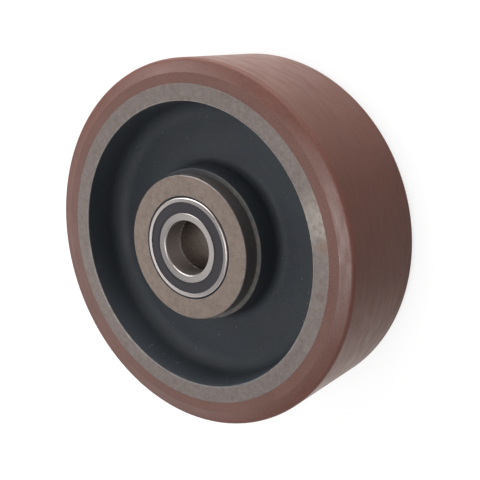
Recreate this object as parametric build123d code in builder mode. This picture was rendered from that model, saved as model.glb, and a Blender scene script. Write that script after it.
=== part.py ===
"""A polyurethane-tyred wheel, 200 x 65 mm, on a cast iron core with two sealed ball bearings.

The axis of the wheel is Z, its front face looks along +Z and the origin is the wheel's centre.
Every turned or cast piece is a section in the radius and height plane, revolved about Z.
"""

import os
from math import radians, tan

from build123d import *

os.makedirs("parts", exist_ok=True)

# Tread
tread_diameter = 200
tread_width = 65
tread_thickness = 13
tread_side_flat = 5.5
tread_bevel_angle = 13
tread_shoulder_radius = 2

# Rim of the core
rim_wall = 9
rim_draft_angle = 5
rim_inner_chamfer = 0.6
rim_outer_chamfer = 0.4
rim_root_radius = 9

# Web of the core
web_thickness = 15

# Hub of the core: a turned nose on a thicker cast boss
hub_length = 67
hub_nose_diameter = 78.8
hub_nose_chamfer = 0.4
hub_nose_length = 9.5
boss_step = 2.4
boss_draft_angle = 5
boss_edge_radius = 0.8
boss_root_radius = 5
hub_shoulder = 2.5
seat_chamfer = 1

# Bearings, 30 x 55 x 13 mm, one in each end of the hub
bearing_bore = 30
bearing_diameter = 55
bearing_width = 13
bearing_stand_out = 0.5
ball_diameter = 7.144
ball_count = 11
groove_conformity = 0.52
ball_clearance = 0.02
inner_shoulder_reach = 2.15
outer_shoulder_reach = 2.2
ring_corner_radius = 0.9
ring_edge_chamfer = 0.25

# Seals and the lip groove that each runs in
outer_face_width = 2.4
seal_seat_depth = 1.5
seal_bead_height = 0.6
seal_bead_reach = 0.3
seal_recess = 0.35
seal_edge_chamfer = 0.2
lip_relief_width = 1.1
lip_relief_depth = 0.15
lip_clearance = 0.08
lip_groove_depth = 0.4
lip_groove_width = 1
lip_land_width = 0.7

# Cages: a moulded crown, closed at the back and open at the front
cage_wall = 2.5
cage_web = 0.55
cage_claw_reach = 1.9
cage_slot_width = 1.4
cage_slot_floor = 0.6
pocket_clearance = 0.15

# Spacer tube between the two inner rings
spacer_bore_clearance = 0.2
spacer_wall = 3.8
spacer_chamfer = 0.4

# Radii and heights that follow from the sizes above
tread_radius = tread_diameter / 2
tread_half = tread_width / 2
rim_radius = tread_radius - tread_thickness
rim_inner_radius = rim_radius - rim_wall
web_half = web_thickness / 2
hub_half = hub_length / 2
nose_radius = hub_nose_diameter / 2
nose_foot = hub_half - hub_nose_length
boss_radius = nose_radius + boss_step
bore_radius = bearing_bore / 2
bearing_radius = bearing_diameter / 2
bearing_half = bearing_width / 2
bearing_centre = hub_half + bearing_stand_out - bearing_half
seat_floor = bearing_centre - bearing_half
hub_bore_radius = bearing_radius - hub_shoulder
pitch_radius = (bore_radius + bearing_radius) / 2
ball_radius = ball_diameter / 2
groove_radius = groove_conformity * ball_diameter
groove_shift = groove_radius - ball_radius - ball_clearance
inner_shoulder_radius = pitch_radius - inner_shoulder_reach
outer_shoulder_radius = pitch_radius + outer_shoulder_reach
seal_mouth_radius = bearing_radius - outer_face_width
seal_bead_radius = seal_mouth_radius + seal_bead_reach
seal_back = bearing_half - seal_seat_depth
seal_face = bearing_half - seal_recess
lip_radius = inner_shoulder_radius + lip_clearance
lip_groove_radius = inner_shoulder_radius - lip_groove_depth
lip_tip_radius = lip_groove_radius + lip_clearance
lip_groove_top = bearing_half - lip_land_width
lip_tip_top = lip_groove_top - lip_clearance
cage_inner_radius = pitch_radius - cage_wall / 2
cage_outer_radius = pitch_radius + cage_wall / 2
pocket_radius = ball_radius + pocket_clearance
cage_back = pocket_radius + cage_web
spacer_bore_radius = bore_radius + spacer_bore_clearance
spacer_radius = spacer_bore_radius + spacer_wall
ball_pitch_angle = 360 / ball_count

# The core is one casting. Half of its section is drawn, from the bore out to the rim, then mirrored.
web_boss_radius = boss_radius + (nose_foot - web_half) * tan(radians(boss_draft_angle))
web_rim_radius = rim_inner_radius - (tread_half - web_half) * tan(radians(rim_draft_angle))
with BuildPart() as wheel_core:
    with BuildSketch(Plane.XZ) as core_section:
        with BuildLine():
            Polyline(
                (hub_bore_radius, 0),
                (hub_bore_radius, seat_floor),
                (bearing_radius, seat_floor),
                (bearing_radius, hub_half - seat_chamfer),
                (bearing_radius + seat_chamfer, hub_half),
                (nose_radius - hub_nose_chamfer, hub_half),
                (nose_radius, hub_half - hub_nose_chamfer),
                (nose_radius, nose_foot),
                (boss_radius, nose_foot),
                (web_boss_radius, web_half),
                (web_rim_radius, web_half),
                (rim_inner_radius, tread_half - rim_inner_chamfer),
                (rim_inner_radius + rim_inner_chamfer, tread_half),
                (rim_radius - rim_outer_chamfer, tread_half),
                (rim_radius, tread_half - rim_outer_chamfer),
                (rim_radius, 0),
                close=True,
            )
        make_face()
        for corner, radius in (
            ((boss_radius, nose_foot), boss_edge_radius),
            ((web_boss_radius, web_half), boss_root_radius),
            ((web_rim_radius, web_half), rim_root_radius),
        ):
            fillet(core_section.vertices().sort_by_distance(corner)[0], radius)
        mirror(about=Plane.XZ)
    revolve(axis=Axis.Z)
wheel_core.part.label = "wheel_core"
export_step(wheel_core.part, "parts/wheel_core.step")

# The tread is cast round the rim: a flat beside the rim, a shallow bevel and a rounded shoulder.
flat_radius = rim_radius + tread_side_flat
shoulder_height = tread_half - (tread_radius - flat_radius) * tan(radians(tread_bevel_angle))
with BuildPart() as tread:
    with BuildSketch(Plane.XZ) as tread_section:
        with BuildLine():
            Polyline(
                (rim_radius, 0),
                (rim_radius, tread_half),
                (flat_radius, tread_half),
                (tread_radius, shoulder_height),
                (tread_radius, 0),
                close=True,
            )
        make_face()
        shoulder = tread_section.vertices().sort_by_distance((tread_radius, shoulder_height))[0]
        fillet(shoulder, tread_shoulder_radius)
        mirror(about=Plane.XZ)
    revolve(axis=Axis.Z)
tread.part.label = "tread"
export_step(tread.part, "parts/tread.step")

# The spacer tube keeps the inner rings apart when the axle is tightened.
with BuildPart() as spacer_tube:
    with BuildSketch(Plane.XZ) as spacer_section:
        with Locations((spacer_bore_radius, 0)):
            Rectangle(spacer_wall, 2 * seat_floor, align=(Align.MIN, Align.CENTER))
        chamfer(spacer_section.vertices(), spacer_chamfer)
    revolve(axis=Axis.Z)
spacer_tube.part.label = "spacer_tube"
export_step(spacer_tube.part, "parts/spacer_tube.step")

# The rear bearing is the front one turned over, so both are drawn outwards from their own middle plane.
for side_name, side in (("front", 1), ("rear", -1)):
    middle = Plane(origin=(0, 0, side * bearing_centre), x_dir=(1, 0, 0), z_dir=(0, 0, side))
    section = Plane(origin=middle.origin, x_dir=(1, 0, 0), z_dir=(0, -side, 0))

    # Outer ring: ball groove in the middle, a stepped seat for a seal at each end
    with BuildPart() as outer_ring:
        with BuildSketch(section) as outer_section:
            with Locations((outer_shoulder_radius, 0)):
                Rectangle(
                    bearing_radius - outer_shoulder_radius,
                    bearing_width,
                    align=(Align.MIN, Align.CENTER),
                )
            fillet(outer_section.vertices().group_by(Axis.X)[-1], ring_corner_radius)
            with Locations((pitch_radius - groove_shift, 0)):
                Circle(groove_radius, mode=Mode.SUBTRACT)
            for end in (1, -1):
                with Locations((outer_shoulder_radius, end * (seal_back + bearing_half) / 2)):
                    Rectangle(
                        seal_mouth_radius - outer_shoulder_radius,
                        seal_seat_depth,
                        align=(Align.MIN, Align.CENTER),
                        mode=Mode.SUBTRACT,
                    )
                with Locations((outer_shoulder_radius, end * (seal_back + seal_bead_height / 2))):
                    Rectangle(
                        seal_bead_radius - outer_shoulder_radius,
                        seal_bead_height,
                        align=(Align.MIN, Align.CENTER),
                        mode=Mode.SUBTRACT,
                    )
        revolve(axis=Axis.Z)
    outer_ring.part.label = f"{side_name}_outer_ring"
    export_step(outer_ring.part, f"parts/{side_name}_outer_ring.step")

    # Inner ring: ball groove in the middle, a groove for a seal's lip near each end
    with BuildPart() as inner_ring:
        with BuildSketch(section) as inner_section:
            with Locations((bore_radius, 0)):
                Rectangle(
                    inner_shoulder_radius - bore_radius,
                    bearing_width,
                    align=(Align.MIN, Align.CENTER),
                )
            fillet(inner_section.vertices().group_by(Axis.X)[0], ring_corner_radius)
            chamfer(inner_section.vertices().group_by(Axis.X)[-1], ring_edge_chamfer)
            with Locations((pitch_radius + groove_shift, 0)):
                Circle(groove_radius, mode=Mode.SUBTRACT)
            for end in (1, -1):
                with Locations((lip_groove_radius, end * (lip_groove_top - lip_groove_width / 2))):
                    Rectangle(
                        lip_groove_depth,
                        lip_groove_width,
                        align=(Align.MIN, Align.CENTER),
                        mode=Mode.SUBTRACT,
                    )
        revolve(axis=Axis.Z)
    inner_ring.part.label = f"{side_name}_inner_ring"
    export_step(inner_ring.part, f"parts/{side_name}_inner_ring.step")

    # Seals: a bead snaps into the outer ring, and a lip runs in the inner ring's groove
    for seal_name, end in (("outer_seal", 1), ("inner_seal", -1)):
        with BuildPart() as seal:
            with BuildSketch(section):
                with BuildLine():
                    Polyline(
                        (seal_bead_radius, end * seal_back),
                        (seal_bead_radius, end * (seal_back + seal_bead_height)),
                        (seal_mouth_radius, end * (seal_back + seal_bead_height)),
                        (seal_mouth_radius, end * (seal_face - seal_edge_chamfer)),
                        (seal_mouth_radius - seal_edge_chamfer, end * seal_face),
                        (lip_radius + lip_relief_width, end * seal_face),
                        (lip_radius + lip_relief_width, end * (seal_face - lip_relief_depth)),
                        (lip_radius, end * (seal_face - lip_relief_depth)),
                        (lip_radius, end * lip_tip_top),
                        (lip_tip_radius, end * lip_tip_top),
                        (lip_radius, end * seal_back),
                        close=True,
                    )
                make_face()
            revolve(axis=Axis.Z)
        seal.part.label = f"{side_name}_{seal_name}"
        export_step(seal.part, f"parts/{side_name}_{seal_name}.step")

    # Cage: a ring with a round pocket for each ball, slotted between the pockets into sprung claws
    with BuildPart(middle) as cage:
        with BuildSketch(middle.offset(-cage_back)):
            Circle(cage_outer_radius)
            Circle(cage_inner_radius, mode=Mode.SUBTRACT)
        extrude(amount=cage_back + cage_claw_reach)
        with BuildSketch(middle.offset(cage_slot_floor)):
            with PolarLocations(pitch_radius, ball_count, start_angle=ball_pitch_angle / 2):
                Rectangle(2 * cage_wall, cage_slot_width)
        extrude(amount=cage_claw_reach, mode=Mode.SUBTRACT)
        with PolarLocations(pitch_radius, ball_count):
            Cylinder(pocket_radius, 2 * cage_wall, rotation=(0, 90, 0), mode=Mode.SUBTRACT)
    cage.part.label = f"{side_name}_cage"
    export_step(cage.part, f"parts/{side_name}_cage.step")

    # Balls, evenly spaced on the pitch circle
    for number, place in enumerate(PolarLocations(pitch_radius, ball_count), start=1):
        with BuildPart(middle) as ball:
            with Locations(place):
                Sphere(ball_radius)
        ball.part.label = f"{side_name}_ball_{number}"
        export_step(ball.part, f"parts/{side_name}_ball_{number}.step")
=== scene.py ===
# Polyurethane wheel on a painted cast iron core with two sealed ball bearings.
# It lies on its rear face: the axis is Z, and the front face looks up at the camera.
# Sizes in the dictionaries are millimetres, unless their note says otherwise.
from math import atan2, ceil, cos, hypot, pi, radians, sin, sqrt, tan

import bpy
from mathutils import Matrix, Vector, noise


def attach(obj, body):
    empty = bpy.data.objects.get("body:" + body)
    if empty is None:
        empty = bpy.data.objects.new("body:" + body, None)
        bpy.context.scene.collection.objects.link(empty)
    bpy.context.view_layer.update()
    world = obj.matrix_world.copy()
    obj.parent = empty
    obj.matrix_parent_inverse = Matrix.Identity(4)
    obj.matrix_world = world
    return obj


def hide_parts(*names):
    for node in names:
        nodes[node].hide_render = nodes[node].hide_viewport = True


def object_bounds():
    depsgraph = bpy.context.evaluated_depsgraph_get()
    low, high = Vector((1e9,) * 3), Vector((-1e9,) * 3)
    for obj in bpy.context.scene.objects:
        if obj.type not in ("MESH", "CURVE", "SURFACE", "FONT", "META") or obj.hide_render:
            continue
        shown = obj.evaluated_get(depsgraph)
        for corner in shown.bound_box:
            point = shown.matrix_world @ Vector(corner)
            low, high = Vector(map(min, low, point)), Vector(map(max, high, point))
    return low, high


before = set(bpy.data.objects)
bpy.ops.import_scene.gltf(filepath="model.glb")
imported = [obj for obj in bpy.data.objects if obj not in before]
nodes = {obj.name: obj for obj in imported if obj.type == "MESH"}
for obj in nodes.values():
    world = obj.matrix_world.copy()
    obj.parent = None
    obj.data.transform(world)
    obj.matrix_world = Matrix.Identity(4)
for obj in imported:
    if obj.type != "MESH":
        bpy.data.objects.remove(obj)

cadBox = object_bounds()
mm = 0.001
noiseLow, noiseHigh = 0.3, 0.7  # nearly all of a noise texture lies between these
print("frame loaded:", len(nodes), "pieces")


def hexToLinear(code):
    channels = [int(code[i:i + 2], 16) / 255 for i in (1, 3, 5)]
    return [c / 12.92 if c <= 0.04045 else ((c + 0.055) / 1.055) ** 2.4 for c in channels] + [1.0]


def addNode(tree, kind, inputs, output=0, **settings):
    # adds a node, sets or links its inputs, and gives back one of its outputs; text is a hex colour
    node = tree.nodes.new("ShaderNode" + kind)
    for name, value in settings.items():
        setattr(node, name, value)
    for socket, value in inputs.items():
        if isinstance(value, bpy.types.NodeSocket):
            tree.links.new(value, node.inputs[socket])
        else:
            node.inputs[socket].default_value = hexToLinear(value) if isinstance(value, str) else value
    return node.outputs[output] if node.outputs else None


def newMaterial(name):
    material = bpy.data.materials.new(name)
    material.use_nodes = True
    material.node_tree.nodes.clear()
    return material, material.node_tree


def surface(tree, **inputs):
    # the shader and the output; input names are written with _ for a blank
    named = {name.replace("_", " "): value for name, value in inputs.items()}
    addNode(tree, "OutputMaterial", {"Surface": addNode(tree, "BsdfPrincipled", named)})


def wheelPlace(tree):
    # where a point is on the wheel, in millimetres
    metres = addNode(tree, "TexCoord", {}, "Object")
    place = addNode(tree, "VectorMath", {0: metres, "Scale": 1 / mm}, operation="SCALE")
    flat = addNode(tree, "VectorMath", {0: place, 1: (1, 1, 0)}, operation="MULTIPLY")
    height = addNode(tree, "SeparateXYZ", {0: place}, "Z")
    return {
        "place": place,
        "height": height,
        "depth": addNode(tree, "Math", {0: height}, operation="ABSOLUTE"),  # from the middle plane
        "radius": addNode(tree, "VectorMath", {0: flat}, "Value", operation="LENGTH"),
        "around": addNode(tree, "VectorMath", {0: flat}, operation="NORMALIZE"),
    }


def grain(tree, wheel, size, detail=3.0, roughness=0.55):
    # even cloudy noise whose blotches are about size millimetres across
    settings = {"Vector": wheel["place"], "Scale": 1 / size, "Detail": detail, "Roughness": roughness}
    return addNode(tree, "TexNoise", settings)


def speckled(tree, wheel, color, size, amount):
    # makes a colour lighter and darker by this share, in specks about size millimetres across
    specks = grain(tree, wheel, size, detail=2.0)
    share = {0: specks, 1: noiseLow, 2: noiseHigh, 3: 1 - amount, 4: 1 + amount}
    share = addNode(tree, "MapRange", share)
    return addNode(tree, "VectorMath", {0: color, "Scale": share}, operation="SCALE")


def turningMarks(tree, wheel, spacing, drift=2.0, detail=2.0):
    # a lathe's lines: noise that changes every spacing millimetres across them and slowly along them
    across = addNode(tree, "Math", {0: wheel["radius"], 1: wheel["height"]}, operation="ADD")
    across = addNode(tree, "Math", {0: across, 1: spacing}, operation="DIVIDE")
    across = addNode(tree, "CombineXYZ", {"Z": across})
    drifting = addNode(tree, "VectorMath", {0: wheel["around"], "Scale": drift}, operation="SCALE")
    vector = addNode(tree, "VectorMath", {0: drifting, 1: across}, operation="ADD")
    return addNode(tree, "TexNoise", {"Vector": vector, "Scale": 1.0, "Detail": detail, "Roughness": 0.6})


def zone(tree, wheel, radii, depths):
    # 1 between these radii and these distances from the middle plane, else 0
    masks = []
    for value, (low, high) in ((wheel["radius"], radii), (wheel["depth"], depths)):
        span = {0: value, 1: (low + high) / 2, 2: (high - low) / 2}
        masks.append(addNode(tree, "Math", span, operation="COMPARE"))
    return addNode(tree, "Math", {0: masks[0], 1: masks[1]}, operation="MULTIPLY")


def fadedRound(tree, wheel, mask, towards, span, shares):
    # scales a mask by a share that changes round the wheel, up to the second one in this direction
    side = addNode(tree, "VectorMath", {0: wheel["around"], 1: towards}, "Value", operation="DOT_PRODUCT")
    share = addNode(tree, "MapRange", {0: side, 1: span[0], 2: span[1], 3: shares[0], 4: shares[1]})
    return addNode(tree, "Math", {0: mask, 1: share}, operation="MULTIPLY")


def roundedSection(corners, runStep, arcStep=radians(9)):
    # corners are (radius, height, rounding), with the solid on the left of each run.
    # Gives points along the section, each with the surface's direction before and after it.
    bends = []
    for i, (r, z, rounding) in enumerate(corners):
        here, last = Vector((r, z)), Vector(corners[i - 1][:2])
        following = Vector(corners[(i + 1) % len(corners)][:2])
        before, after = (here - last).normalized(), (following - here).normalized()
        facing = [Vector((d.y, -d.x)) for d in (before, after)]
        if not rounding:
            bends.append([(here, facing[0], facing[1])])
            continue
        bend = atan2(before.x * after.y - before.y * after.x, before.dot(after))
        side = 1 if bend > 0 else -1
        start = here - before * rounding * tan(abs(bend) / 2)
        centre = start - facing[0] * rounding * side
        steps = max(2, ceil(abs(bend) / arcStep))
        arc = [Matrix.Rotation(bend * k / steps, 2) @ facing[0] for k in range(steps + 1)]
        bends.append([(centre + n * rounding * side, n, n) for n in arc])
    points = []
    for i, bend in enumerate(bends):
        points += bend
        start, end, facing = bend[-1][0], bends[(i + 1) % len(bends)][0][0], bend[-1][2]
        pieces = max(1, ceil((end - start).length / runStep))
        points += [(start.lerp(end, k / pieces), facing, facing) for k in range(1, pieces)]
    return points


def turnedPiece(name, node, body, material, corners, segments, runStep=5.0, uneven=None):
    # turns a section about the axis into a closed mesh that stands for a node of the frame
    line = roundedSection(corners, runStep)
    circle = [(cos(2 * pi * k / segments), sin(2 * pi * k / segments)) for k in range(segments)]
    vertices = []
    for point, before, after in line:
        for c, s in circle:
            r, z = point
            if uneven:
                shift = uneven(r, z, c, s)
                facing = (before + after).normalized()
                r, z = r + facing.x * shift, z + facing.y * shift
            vertices.append((r * c * mm, r * s * mm, z * mm))
    faces, directions = [], []
    for k in range(len(line)):
        following = (k + 1) % len(line)
        leaving, arriving = line[k][2], line[following][1]
        for j in range(segments):
            beside = (j + 1) % segments
            quad = (
                (k, j, leaving), (k, beside, leaving),
                (following, beside, arriving), (following, j, arriving),
            )
            faces.append([row * segments + column for row, column, facing in quad])
            for row, column, facing in quad:
                c, s = circle[column]
                directions.append((facing.x * c, facing.x * s, facing.y))
    mesh = bpy.data.meshes.new(name)
    mesh.from_pydata(vertices, [], faces)
    mesh.shade_smooth()
    if uneven:
        mesh.set_sharp_from_angle(angle=radians(28))  # the section's square corners stay sharp
    else:
        mesh.normals_split_custom_set(directions)
    mesh.materials.append(material)
    piece = bpy.data.objects.new(name, mesh)
    bpy.context.scene.collection.objects.link(piece)
    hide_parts(node)
    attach(piece, body)


def mirrored(corners, between=()):
    # a whole section from its front half, which runs from the outside inwards, and what lies between
    return [*corners, *between] + [(r, -z, rounding) for r, z, rounding in reversed(corners)]


# Tread: polyurethane cast on the rim, then turned to size
tread = {
    "section": [(99.97, 30.77, 2.0), (92.5, 32.5, 1.0), (87, 32.5, 0)],
    "segments": 384,
    "runningBrown": "#673b30",
    "sideBrown": "#6e4c44",
    "brownTurn": (91, 99),  # radii between which one brown goes over into the other
    "cloudSize": 26,
    "cloudShade": 0.86,  # how dark the cloudy patches are
    "speckSize": 0.9,  # real grit marks are about 0.3 mm, too fine to show
    "speckle": 0.18,
    "lineSpacing": 2.2,  # real lines are 0.2 mm apart, too fine to show
    "lineDrift": 7.0,  # how quickly a line changes round the wheel
    "lineHeight": 0.009,
    "lineSpan": (0.35, 0.65),
    "roughness": (0.31, 0.45),
    "edgeFrom": (129.2, 129.7),  # radius and depth added, which is largest on the rounded edges
    "edgeRoughness": 0.62,  # handling has dulled them
    "ior": 1.5,
}


def castPolyurethane():
    # a deep red brown with a soft, slightly waxy gloss, broken by fine lines round the wheel
    material, tree = newMaterial("polyurethane_cast_and_turned")
    wheel = wheelPlace(tree)
    outwards = {0: wheel["radius"], 1: tread["brownTurn"][0], 2: tread["brownTurn"][1]}
    browns = {0: addNode(tree, "MapRange", outwards), 6: tread["sideBrown"], 7: tread["runningBrown"]}
    brown = addNode(tree, "Mix", browns, 2, data_type="RGBA")
    cloud = grain(tree, wheel, tread["cloudSize"], detail=5.0)
    cloud = addNode(tree, "MapRange", {0: cloud, 1: noiseLow, 2: noiseHigh, 3: tread["cloudShade"]})
    brown = addNode(tree, "VectorMath", {0: brown, "Scale": cloud}, operation="SCALE")
    brown = speckled(tree, wheel, brown, tread["speckSize"], tread["speckle"])
    marks = turningMarks(tree, wheel, tread["lineSpacing"], tread["lineDrift"], detail=3.0)
    (least, most), (low, high) = tread["lineSpan"], tread["roughness"]
    rough = addNode(tree, "MapRange", {0: marks, 1: least, 2: most, 3: low, 4: high})
    edge = addNode(tree, "Math", {0: wheel["radius"], 1: wheel["depth"]}, operation="ADD")
    edge = addNode(tree, "MapRange", {0: edge, 1: tread["edgeFrom"][0], 2: tread["edgeFrom"][1]})
    rough = addNode(tree, "Mix", {0: edge, 2: rough, 3: tread["edgeRoughness"]})
    bump = addNode(tree, "Bump", {"Strength": 1.0, "Distance": tread["lineHeight"] * mm, "Height": marks})
    surface(tree, Base_Color=brown, Roughness=rough, Normal=bump, IOR=tread["ior"])
    return material


turnedPiece(
    "tread_turned", "tread", "wheel", castPolyurethane(),
    mirrored(tread["section"]), tread["segments"],
)
print("tread done")

# Core: a grey iron casting, painted, then turned on the rim faces and on the hub's noses
core = {
    "section": [
        (87, 32.5, 0.1), (78.6, 32.5, 0.12), (78, 31.9, 0.12), (75.81, 7.5, 9), (43.24, 7.5, 5),
        (41.8, 24, 0.8), (39.4, 24, 0.2), (39.4, 33.1, 0.25), (39, 33.5, 0.25), (28.5, 33.5, 0.15),
        (27.5, 32.5, 0), (27.5, 21, 0), (25, 21, 0),
    ],
    "segments": 320,
    "castRadii": (41.7, 78.1),  # the surface between these is left as it was cast
    "castDepth": 31.9,
    "hubStep": (41.8, 24),  # radius and depth of the corner where the turned hub begins
    "castFade": 3,
    "castUnevenness": 0.16,
    "castWave": 14,
    "paint": "#31353d",
    "paintShade": "#2a3034",
    "paintCloud": 16,
    "paintRoughness": (0.58, 0.7),
    "turned": {  # radii and depths of the turned places and of the inner edge, worn and drawn pale as a painted highlight, and the colour of the iron there
        "rim": ((78.62, 87.1), (31.95, 33), "#867d7a"),
        "hub": ((28.4, 39.05), (32, 34), "#8f8178"),
        # painted shade: the nose's turned iron is drawn darker than the same iron on the faces
        "nose": ((39.05, 39.45), (24.1, 34), "#736f6f"),
        "step": ((39.45, 41.75), (23.5, 24.1), "#4e504e"),
        # the rim's inner edge: paint worn off to iron, drawn pale as a painted highlight
        "innerEdge": ((77.9, 78.62), (31.85, 33), "#b6ada6"),
    },
    "stepPaintedShade": ((-0.5, 0.87, 0), (0.1, 0.85), (1, 0.1)),  # direction, span, shares: painted shade, the step shows dark paint towards this side
    "edgeHighlightShare": ((-0.2, 0.98, 0), (-1, -0.2), (0.25, 0.7)),  # direction, span, shares: painted highlight, the pale edge is weaker away from this direction
    "ironStain": "#73655d",
    "stainSize": 3.2,
    "stainSpan": (0.42, 0.75),
    "stainAmount": 0.75,
    "ironRoughness": (0.38, 0.52),
    "ironMetallic": 0.8,  # grey iron's graphite and oxide dull the rest
    "markSpacing": 0.5,  # the real feed lines are about 0.15 mm apart
    "markHeight": 0.014,
    "castGrain": 0.8,  # the real sand is about 0.3 mm, too fine to show
    "castGrainHeight": 0.22,
    "speckSize": 0.8,  # graphite and grit are finer, too fine to show
    "speckle": 0.18,
    "stainsAndSheen": [  # where, reach, colour and strength of the stains on the rim; the pale first one is a painted sheen
        # painted sheen: a pale patch on the rim's right side, where the turned face reflects the light
        ((82.5, 13, 32.5), 17, "#b3aba2", 0.6),
        ((84.8, 1.5, 32.5), 5, "#85695a", 0.7),
        ((80.5, -23.5, 32.5), 3.5, "#776660", 0.7),
    ],
    "patchCore": 0.3,  # the share of its reach where a stain or the sheen has its full strength
    "raggedSize": 3,
    "raggedSpan": (0.35, 0.55),
    "raggedLeast": 0.3,
    "dustColor": "#a5a6a4",
    "dustSize": 1.6,
    "dustSpan": (0.82, 0.88),  # only the noise's few highest peaks are specks
    "dust": 0.3,
}


def castWaviness(r, z, c, s):
    # only the surfaces left as cast are uneven, and the unevenness fades out towards the turned ones
    (inner, outer), depth, (stepRadius, stepDepth) = core["castRadii"], core["castDepth"], core["hubStep"]
    if not inner < r < outer or abs(z) > depth:
        return 0
    fromHub = hypot(max(0, r - stepRadius), max(0, stepDepth - abs(z)))
    fade = min(1, (depth - abs(z)) / core["castFade"], fromHub / core["castFade"])
    return noise.noise(Vector((r * c, r * s, z)) / core["castWave"]) * core["castUnevenness"] * max(0, fade)


def paintedCastIron():
    # satin anthracite paint over a sandy casting, and warm grey turned iron with stains, a painted sheen
    # and fine lines
    material, tree = newMaterial("cast_iron_painted_and_turned")
    wheel = wheelPlace(tree)
    masks = {}
    for name, (radii, depths, iron) in core["turned"].items():
        masks[name] = zone(tree, wheel, radii, depths)
    rimWithEdge = addNode(tree, "Math", {0: masks["rim"], 1: masks["innerEdge"]}, operation="ADD")
    faces = addNode(tree, "Math", {0: masks["rim"], 1: masks["hub"]}, operation="ADD")
    turned = addNode(tree, "Math", {0: faces, 1: masks["nose"]}, operation="MAXIMUM")
    # painted shade: the step's iron fades into dark paint on its upper left side
    masks["step"] = fadedRound(tree, wheel, masks["step"], *core["stepPaintedShade"])
    # painted highlight: the inner edge's pale iron, weaker towards the bottom
    masks["innerEdge"] = fadedRound(tree, wheel, masks["innerEdge"], *core["edgeHighlightShare"])

    # paint, with iron over it where it was turned off, and on the rim's inner edge, where the paint is worn
    # off and the pale iron is partly a painted highlight
    cloud = grain(tree, wheel, core["paintCloud"], detail=4.0)
    color = addNode(tree, "Mix", {0: cloud, 6: core["paintShade"], 7: core["paint"]}, 2, data_type="RGBA")
    stain = grain(tree, wheel, core["stainSize"], detail=5.0, roughness=0.65)
    least, most = core["stainSpan"]
    stain = addNode(tree, "MapRange", {0: stain, 1: least, 2: most, 4: core["stainAmount"]})
    for name, (radii, depths, iron) in core["turned"].items():
        bare = addNode(tree, "Mix", {0: stain, 6: iron, 7: core["ironStain"]}, 2, data_type="RGBA")
        color = addNode(tree, "Mix", {0: masks[name], 6: color, 7: bare}, 2, data_type="RGBA")
    color = speckled(tree, wheel, color, core["speckSize"], core["speckle"])

    # ragged stains on the rim and a ragged painted sheen on its right side, each strongest in its middle
    ragged = grain(tree, wheel, core["raggedSize"])
    least, most = core["raggedSpan"]
    ragged = addNode(tree, "MapRange", {0: ragged, 1: least, 2: most, 3: core["raggedLeast"]})
    ragged = addNode(tree, "Math", {0: ragged, 1: rimWithEdge}, operation="MULTIPLY")
    for centre, reach, tint, strength in core["stainsAndSheen"]:
        away = addNode(tree, "VectorMath", {0: wheel["place"], 1: centre}, "Value", operation="DISTANCE")
        share = {0: away, 1: reach * core["patchCore"], 2: reach, 3: strength, 4: 0}
        share = addNode(tree, "MapRange", share)
        share = addNode(tree, "Math", {0: share, 1: ragged}, operation="MULTIPLY")
        color = addNode(tree, "Mix", {0: share, 6: color, 7: tint}, 2, data_type="RGBA")

    # small pale specks of dust on the paint, none on the turned faces
    specks = grain(tree, wheel, core["dustSize"], detail=0.0)
    least, most = core["dustSpan"]
    specks = addNode(tree, "MapRange", {0: specks, 1: least, 2: most, 4: core["dust"]})
    share = addNode(tree, "Math", {0: 1.0, 1: faces}, operation="SUBTRACT", use_clamp=True)
    share = addNode(tree, "Math", {0: specks, 1: share}, operation="MULTIPLY")
    color = addNode(tree, "Mix", {0: share, 6: color, 7: core["dustColor"]}, 2, data_type="RGBA")

    marks = turningMarks(tree, wheel, core["markSpacing"])
    pores = grain(tree, wheel, core["castGrain"], detail=2.0)
    (low, high), (ironLow, ironHigh) = core["paintRoughness"], core["ironRoughness"]
    paintRough = addNode(tree, "MapRange", {0: cloud, 1: noiseLow, 2: noiseHigh, 3: low, 4: high})
    ironRough = addNode(tree, "MapRange", {0: marks, 1: noiseLow, 2: noiseHigh, 3: ironLow, 4: ironHigh})
    rough = addNode(tree, "Mix", {0: turned, 2: paintRough, 3: ironRough})
    height = addNode(tree, "Mix", {0: turned, 2: pores, 3: marks})
    reach = {0: turned, 3: core["castGrainHeight"] * mm, 4: core["markHeight"] * mm}
    bump = {"Strength": 1.0, "Distance": addNode(tree, "MapRange", reach), "Height": height}
    metal = addNode(tree, "Math", {0: turned, 1: core["ironMetallic"]}, operation="MULTIPLY")
    surface(tree, Base_Color=color, Roughness=rough, Metallic=metal, Normal=addNode(tree, "Bump", bump))
    return material


turnedPiece(
    "core_casting", "wheel_core", "wheel", paintedCastIron(),
    mirrored(core["section"]), core["segments"], runStep=2.0, uneven=castWaviness,
)
print("core done")

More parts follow.
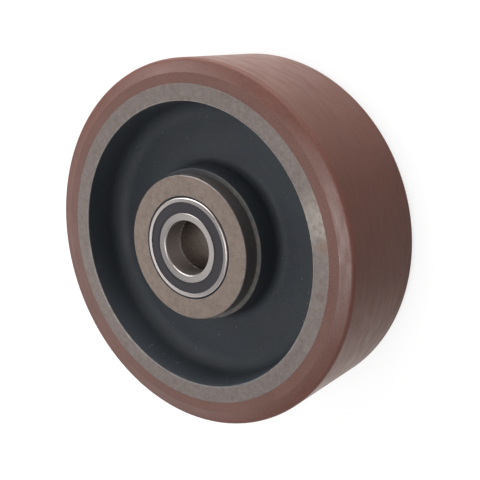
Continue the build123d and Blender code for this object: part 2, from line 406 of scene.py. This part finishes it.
# Bearings: sections in millimetres, in height above the bearing's own middle plane
bearing = {
    "centre": 27.5,  # height of a bearing's middle plane above the wheel's
    "outerHalf": [
        (27.5, 6.38, 0.9), (25.1, 6.5, 0.12), (25.1, 5.6, 0), (25.4, 5.6, 0), (25.4, 5, 0), (23.45, 5, 0),
    ],
    "innerHalf": [
        (19.1, 4.8, 0), (18.7, 4.8, 0), (18.7, 5.8, 0), (19.1, 5.8, 0), (19.1, 6.25, 0), (18.85, 6.5, 0),
        (15, 6.32, 0.9),
    ],
    "seal": [
        (25.4, 5, 0), (25.4, 5.6, 0), (25.1, 5.6, 0), (25.1, 5.95, 0), (24.9, 6.15, 0), (20.28, 6.15, 0),
        (20.28, 6, 0), (19.18, 6, 0), (19.18, 5.72, 0), (18.78, 5.72, 0), (19.18, 5, 0),
    ],
    "grooveRadius": 3.715,
    "outerGroove": (21.127, 23.45),  # where the groove's middle is, and the shoulder it is cut in
    "innerGroove": (21.373, 19.1),
    "segments": 192,
    "steel": "#bbb4b2",
    "steelShade": "#b4adaa",
    "markSpacing": 0.5,  # real grinding lines are a few hundredths apart, too fine to show
    "innerWithin": 19.15,  # all of the inner ring lies inside this radius
    "innerPaintedShade": 0.8,  # painted shade: the inner ring's steel is drawn darker, as its face catches less light
    "steelRoughness": (0.28, 0.33),
    "boreWithin": 15.1,
    # painted light: the bore's steel is drawn lighter than the same steel outside it
    "borePaintedLight": 1.6,
    "boreRoughness": 0.42,
    "rubber": "#27242b",
    "rubberShade": "#221f26",
    "rubberCloud": 2.5,
    "rubberRoughness": (0.42, 0.56),
    "rubberLines": 0.8,  # the mould's own lines are about 0.1 mm apart, too fine to show
    "rubberGrain": 0.5,
    "rubberGrainHeight": 0.02,
    "rubberSpecks": (0.7, 0.2),  # size and amount
    "cage": "#d5c9ad",
    "cageShade": "#c6b995",
    "cageCloud": 1.5,
    "cageRoughness": 0.45,
    "ball": "#c9c7c4",
    "ballHaze": 0.8,
    "ballRoughness": (0.06, 0.12),
}


def groove(middle, shoulder, radius, count=12):
    # points of a ball groove, listed downwards on an outer ring and upwards on an inner one
    side = 1 if shoulder > middle else -1
    half = atan2(sqrt(radius ** 2 - (shoulder - middle) ** 2), abs(shoulder - middle))
    turns = [half * (1 - 2 * k / count) * side for k in range(count + 1)]
    return [(middle + side * radius * cos(a), side * radius * sin(a) * side, 0) for a in turns]


def groundSteel():
    # cold bright grey with fine grinding lines, drawn darker on the inner ring as painted shade and lighter
    # in the bore as painted light
    material, tree = newMaterial("bearing_steel_ground")
    wheel = wheelPlace(tree)
    marks = turningMarks(tree, wheel, bearing["markSpacing"], drift=1.0, detail=1.0)
    greys = {0: marks, 6: bearing["steelShade"], 7: bearing["steel"]}
    color = addNode(tree, "Mix", greys, 2, data_type="RGBA")
    inner = addNode(tree, "Math", {0: wheel["radius"], 1: bearing["innerWithin"]}, operation="LESS_THAN")
    bore = addNode(tree, "Math", {0: wheel["radius"], 1: bearing["boreWithin"]}, operation="LESS_THAN")
    # painted shade on the inner ring, then painted light in its bore
    for mask, gain in ((inner, bearing["innerPaintedShade"]), (bore, bearing["borePaintedLight"])):
        changed = addNode(tree, "VectorMath", {0: color, "Scale": gain}, operation="SCALE")
        color = addNode(tree, "Mix", {0: mask, 6: color, 7: changed}, 2, data_type="RGBA")
    low, high = bearing["steelRoughness"]
    rough = addNode(tree, "MapRange", {0: marks, 1: noiseLow, 2: noiseHigh, 3: low, 4: high})
    rough = addNode(tree, "Mix", {0: bore, 2: rough, 3: bearing["boreRoughness"]})
    surface(tree, Base_Color=color, Roughness=rough, Metallic=1.0)
    return material


def mouldedRubber():
    # nearly black nitrile rubber with a dull sheen
    material, tree = newMaterial("nitrile_rubber_moulded")
    wheel = wheelPlace(tree)
    cloud = grain(tree, wheel, bearing["rubberCloud"], detail=4.0)
    blacks = {0: cloud, 6: bearing["rubberShade"], 7: bearing["rubber"]}
    color = addNode(tree, "Mix", blacks, 2, data_type="RGBA")
    color = speckled(tree, wheel, color, *bearing["rubberSpecks"])
    lines = turningMarks(tree, wheel, bearing["rubberLines"])
    low, high = bearing["rubberRoughness"]
    rough = addNode(tree, "MapRange", {0: lines, 1: noiseLow, 2: noiseHigh, 3: low, 4: high})
    pebbles = grain(tree, wheel, bearing["rubberGrain"])
    bump = {"Strength": 1.0, "Distance": bearing["rubberGrainHeight"] * mm, "Height": pebbles}
    surface(tree, Base_Color=color, Roughness=rough, Normal=addNode(tree, "Bump", bump))
    return material


def mouldedPolyamide():
    # cream polyamide, a little waxy
    material, tree = newMaterial("polyamide_moulded")
    cloud = grain(tree, wheelPlace(tree), bearing["cageCloud"])
    creams = {0: cloud, 6: bearing["cageShade"], 7: bearing["cage"]}
    color = addNode(tree, "Mix", creams, 2, data_type="RGBA")
    surface(tree, Base_Color=color, Roughness=bearing["cageRoughness"])
    return material


def lappedBallSteel():
    # lapped chrome steel, nearly a mirror
    material, tree = newMaterial("chrome_steel_lapped")
    haze = grain(tree, wheelPlace(tree), bearing["ballHaze"])
    low, high = bearing["ballRoughness"]
    rough = addNode(tree, "MapRange", {0: haze, 1: noiseLow, 2: noiseHigh, 3: low, 4: high})
    surface(tree, Base_Color=hexToLinear(bearing["ball"]), Roughness=rough, Metallic=1.0)
    return material


def placed(section, side, end):
    # moves a section from the bearing's middle to its end of the hub, and turns it over where needed
    moved = [(r, side * (bearing["centre"] + end * z), rounding) for r, z, rounding in section]
    return moved if side * end > 0 else moved[::-1]


steel, rubber, polyamide, ballSteel = groundSteel(), mouldedRubber(), mouldedPolyamide(), lappedBallSteel()
outerSection = mirrored(bearing["outerHalf"], groove(*bearing["outerGroove"], bearing["grooveRadius"]))
innerSection = mirrored(bearing["innerHalf"]) + groove(*bearing["innerGroove"], bearing["grooveRadius"])
for side, label in ((1, "front"), (-1, "rear")):
    for part, body, slot, material, section, end in (
        ("outer_ring", "wheel", "bearing_steel", steel, outerSection, 1),
        ("inner_ring", "axle_sleeve", "bearing_steel", steel, innerSection, 1),
        ("outer_seal", "wheel", "seal_rubber", rubber, bearing["seal"], 1),
        ("inner_seal", "wheel", "seal_rubber", rubber, bearing["seal"], -1),
    ):
        turnedPiece(
            f"{label}_{part}_turned", f"{label}_{part}", body, material,
            placed(section, side, end), bearing["segments"],
        )
    for name, node in nodes.items():  # balls and cage keep their CAD mesh
        if name.startswith((label + "_ball", label + "_cage")):
            node.data.materials.clear()
            node.data.materials.append(polyamide if name.endswith("cage") else ballSteel)
print("bearings done")

# Spacer tube between the inner rings
spacer = {
    "section": [(19, 20.6, 0), (18.6, 21, 0), (15.6, 21, 0), (15.2, 20.6, 0)],
    "segments": 160,
    "steel": "#8b8683",
    "stain": "#79716c",
    "stainSize": 4.0,
    "hazeSize": 1.2,
    "roughness": (0.24, 0.3),
}


def drawnTube():
    # cold drawn tube, smooth and gone faintly brown in clouds
    material, tree = newMaterial("steel_tube_drawn")
    wheel = wheelPlace(tree)
    stain = grain(tree, wheel, spacer["stainSize"], detail=4.0)
    color = addNode(tree, "Mix", {0: stain, 6: spacer["stain"], 7: spacer["steel"]}, 2, data_type="RGBA")
    low, high = spacer["roughness"]
    haze = grain(tree, wheel, spacer["hazeSize"])
    rough = addNode(tree, "MapRange", {0: haze, 1: noiseLow, 2: noiseHigh, 3: low, 4: high})
    surface(tree, Base_Color=color, Roughness=rough, Metallic=1.0)
    return material


turnedPiece(
    "spacer_tube_drawn", "spacer_tube", "axle_sleeve", drawnTube(),
    mirrored(spacer["section"]), spacer["segments"],
)
print("spacer done")

# Floor, in metres: white to the camera, and it keeps the wheel's shadow. Gloss and glass see it as
# lit paper, which is darker in the shade beside the wheel and inside the bore.
floor = {
    "size": 8.0,
    "color": "#d8d8d8",
    "glow": 0.8,
    "whiteFrom": (0.3, 1.2),
    "shadowShare": 0.4,
    "paper": "#fff8f2",
    "paperGlow": (0.4, 1.08),
    "shadePlace": (0.13, 0, 0),
    "shadeReach": (0.04, 0.15),
    "boreReach": (0.016, 0.06),
    "boreShade": 0.75,
}


def glossRays(tree):
    # 1 for what gloss and glass show
    glossy = addNode(tree, "LightPath", {}, "Is Glossy Ray")
    clear = addNode(tree, "LightPath", {}, "Is Transmission Ray")
    return addNode(tree, "Math", {0: glossy, 1: clear}, operation="MAXIMUM")


def paleFloor():
    # matt white paper with no edge in sight
    material, tree = newMaterial("pale_floor")
    metres = addNode(tree, "TexCoord", {}, "Object")
    flat = addNode(tree, "VectorMath", {0: metres, 1: (1, 1, 0)}, operation="MULTIPLY")
    away = addNode(tree, "VectorMath", {0: flat}, "Value", operation="LENGTH")
    beside = {0: flat, 1: floor["shadePlace"]}
    beside = addNode(tree, "VectorMath", beside, "Value", operation="DISTANCE")
    paint = addNode(tree, "BsdfDiffuse", {"Color": floor["color"]})

    # to the camera: the paint in part, which takes the shadow, and a glow that makes it white
    shadowed = addNode(tree, "MixShader", {0: 1 - floor["shadowShare"], 1: paint})
    near, far = floor["whiteFrom"]
    glow = addNode(tree, "MapRange", {0: away, 1: near, 2: far, 3: floor["glow"], 4: 1.0})
    glow = addNode(tree, "Emission", {"Strength": glow})
    white = addNode(tree, "AddShader", {0: shadowed, 1: glow})

    # to gloss and glass: lit paper
    (near, far), (dim, bright) = floor["shadeReach"], floor["paperGlow"]
    outside = addNode(tree, "MapRange", {0: beside, 1: near, 2: far, 3: dim, 4: bright})
    near, far = floor["boreReach"]
    inside = addNode(tree, "MapRange", {0: away, 1: near, 2: far, 3: floor["boreShade"], 4: 1.0})
    lit = addNode(tree, "Math", {0: outside, 1: inside}, operation="MULTIPLY")
    paper = addNode(tree, "Emission", {"Color": floor["paper"], "Strength": lit})
    indirect = addNode(tree, "MixShader", {0: glossRays(tree), 1: paint, 2: paper})

    seen = addNode(tree, "LightPath", {}, "Is Camera Ray")
    both = addNode(tree, "MixShader", {0: seen, 1: indirect, 2: white})
    addNode(tree, "OutputMaterial", {"Surface": both})
    return material


half = floor["size"] / 2
corners = [(x * half, y * half, cadBox[0].z) for x, y in ((-1, -1), (1, -1), (1, 1), (-1, 1))]
floorMesh = bpy.data.meshes.new("floor")
floorMesh.from_pydata(corners, [], [(0, 1, 2, 3)])
floorMesh.materials.append(paleFloor())
floorPiece = bpy.data.objects.new("floor", floorMesh)
bpy.context.scene.collection.objects.link(floorPiece)

# Camera: fitted to the circles that the photograph shows
view = {
    "place": (284.59, 71.78, 348.11),
    "aim": (-5.23, 0.58, 0.0),
    "up": (0, 0.97972, -0.20036),
    "sensor": 36,
    "lens": 60.19,
    "shift": (0.04615, -0.01135),  # shares of the picture's width
    "clipStart": 10,
}
place = Vector(view["place"]) * mm
ahead = (Vector(view["aim"]) * mm - place).normalized()
right = ahead.cross(Vector(view["up"])).normalized()
camera = bpy.data.objects.new("camera", bpy.data.cameras.new("camera"))
turn = Matrix((right, right.cross(ahead), -ahead)).transposed().to_4x4()
camera.matrix_world = Matrix.Translation(place) @ turn
camera.data.sensor_width = view["sensor"]
camera.data.lens = view["lens"]
camera.data.shift_x, camera.data.shift_y = view["shift"]
camera.data.clip_start = view["clipStart"] * mm
bpy.context.scene.collection.objects.link(camera)
bpy.context.scene.camera = camera

# Lamps: soft boxes that look at the wheel's middle, with places and sizes in metres
lamps = {
    "overhead": {"place": (0, 1.2, 0.4), "size": (1.2, 0.5), "watts": 8.1},
    "overheadBehind": {"place": (0, 1.2, 0.1), "size": (1.4, 0.2), "watts": 10.1},
    "front": {"place": (0.08, -0.18, 1.3), "size": (0.6, 0.7), "watts": 7.8},
    "upperLeft": {"place": (-0.75, 0.75, 0.7), "size": (0.6, 0.6), "watts": 4.8},
    "left": {"place": (-1.05, 0, 0.65), "size": (0.6, 0.8), "watts": 0.8},
    "leftLow": {"place": (-1.06, -0.31, 0.85), "size": (0.42, 0.42), "watts": 0.72},
    "lowerLeft": {"place": (-0.75, -0.8, 0.5), "size": (0.6, 0.6), "watts": 1.1},
    "table": {"place": (0.1, -1.1, 0.3), "size": (1.2, 0.5), "watts": 1.6},
}
for name, lamp in lamps.items():
    light = bpy.data.lights.new(name, "AREA")
    light.shape = "RECTANGLE"
    light.size, light.size_y = lamp["size"]
    light.energy = lamp["watts"]
    item = bpy.data.objects.new(name, light)
    item.location = lamp["place"]
    item.rotation_euler = (-item.location).to_track_quat("-Z", "Y").to_euler()
    bpy.context.scene.collection.objects.link(item)

# Studio: a white backdrop all round, which gloss and glass show too, under a dimmer ceiling
studio = {
    "fill": 0.24,  # soft light on the wheel from all round
    "backdrop": 1.0,
    "ceilingFrom": (0.1, 0.4),  # heights of a ray's direction between which the backdrop ends
}
world = bpy.data.worlds.new("studio")
world.use_nodes = True
sky = world.node_tree
sky.nodes.clear()
upwards = addNode(sky, "SeparateXYZ", {0: addNode(sky, "TexCoord", {}, "Generated")}, "Z")
low, high = studio["ceilingFrom"]
wall = addNode(sky, "MapRange", {0: upwards, 1: low, 2: high, 3: 1, 4: 0})
wall = addNode(sky, "Math", {0: glossRays(sky), 1: wall}, operation="MULTIPLY")
seen = addNode(sky, "LightPath", {}, "Is Camera Ray")
seen = addNode(sky, "Math", {0: seen, 1: wall}, operation="MAXIMUM")
strength = addNode(sky, "MapRange", {0: seen, 3: studio["fill"], 4: studio["backdrop"]})
background = addNode(sky, "Background", {"Color": (1, 1, 1, 1), "Strength": strength})
addNode(sky, "OutputWorld", {"Surface": background})
bpy.context.scene.world = world
bpy.context.scene.view_settings.view_transform = "Standard"
print("floor, camera and lamps done")
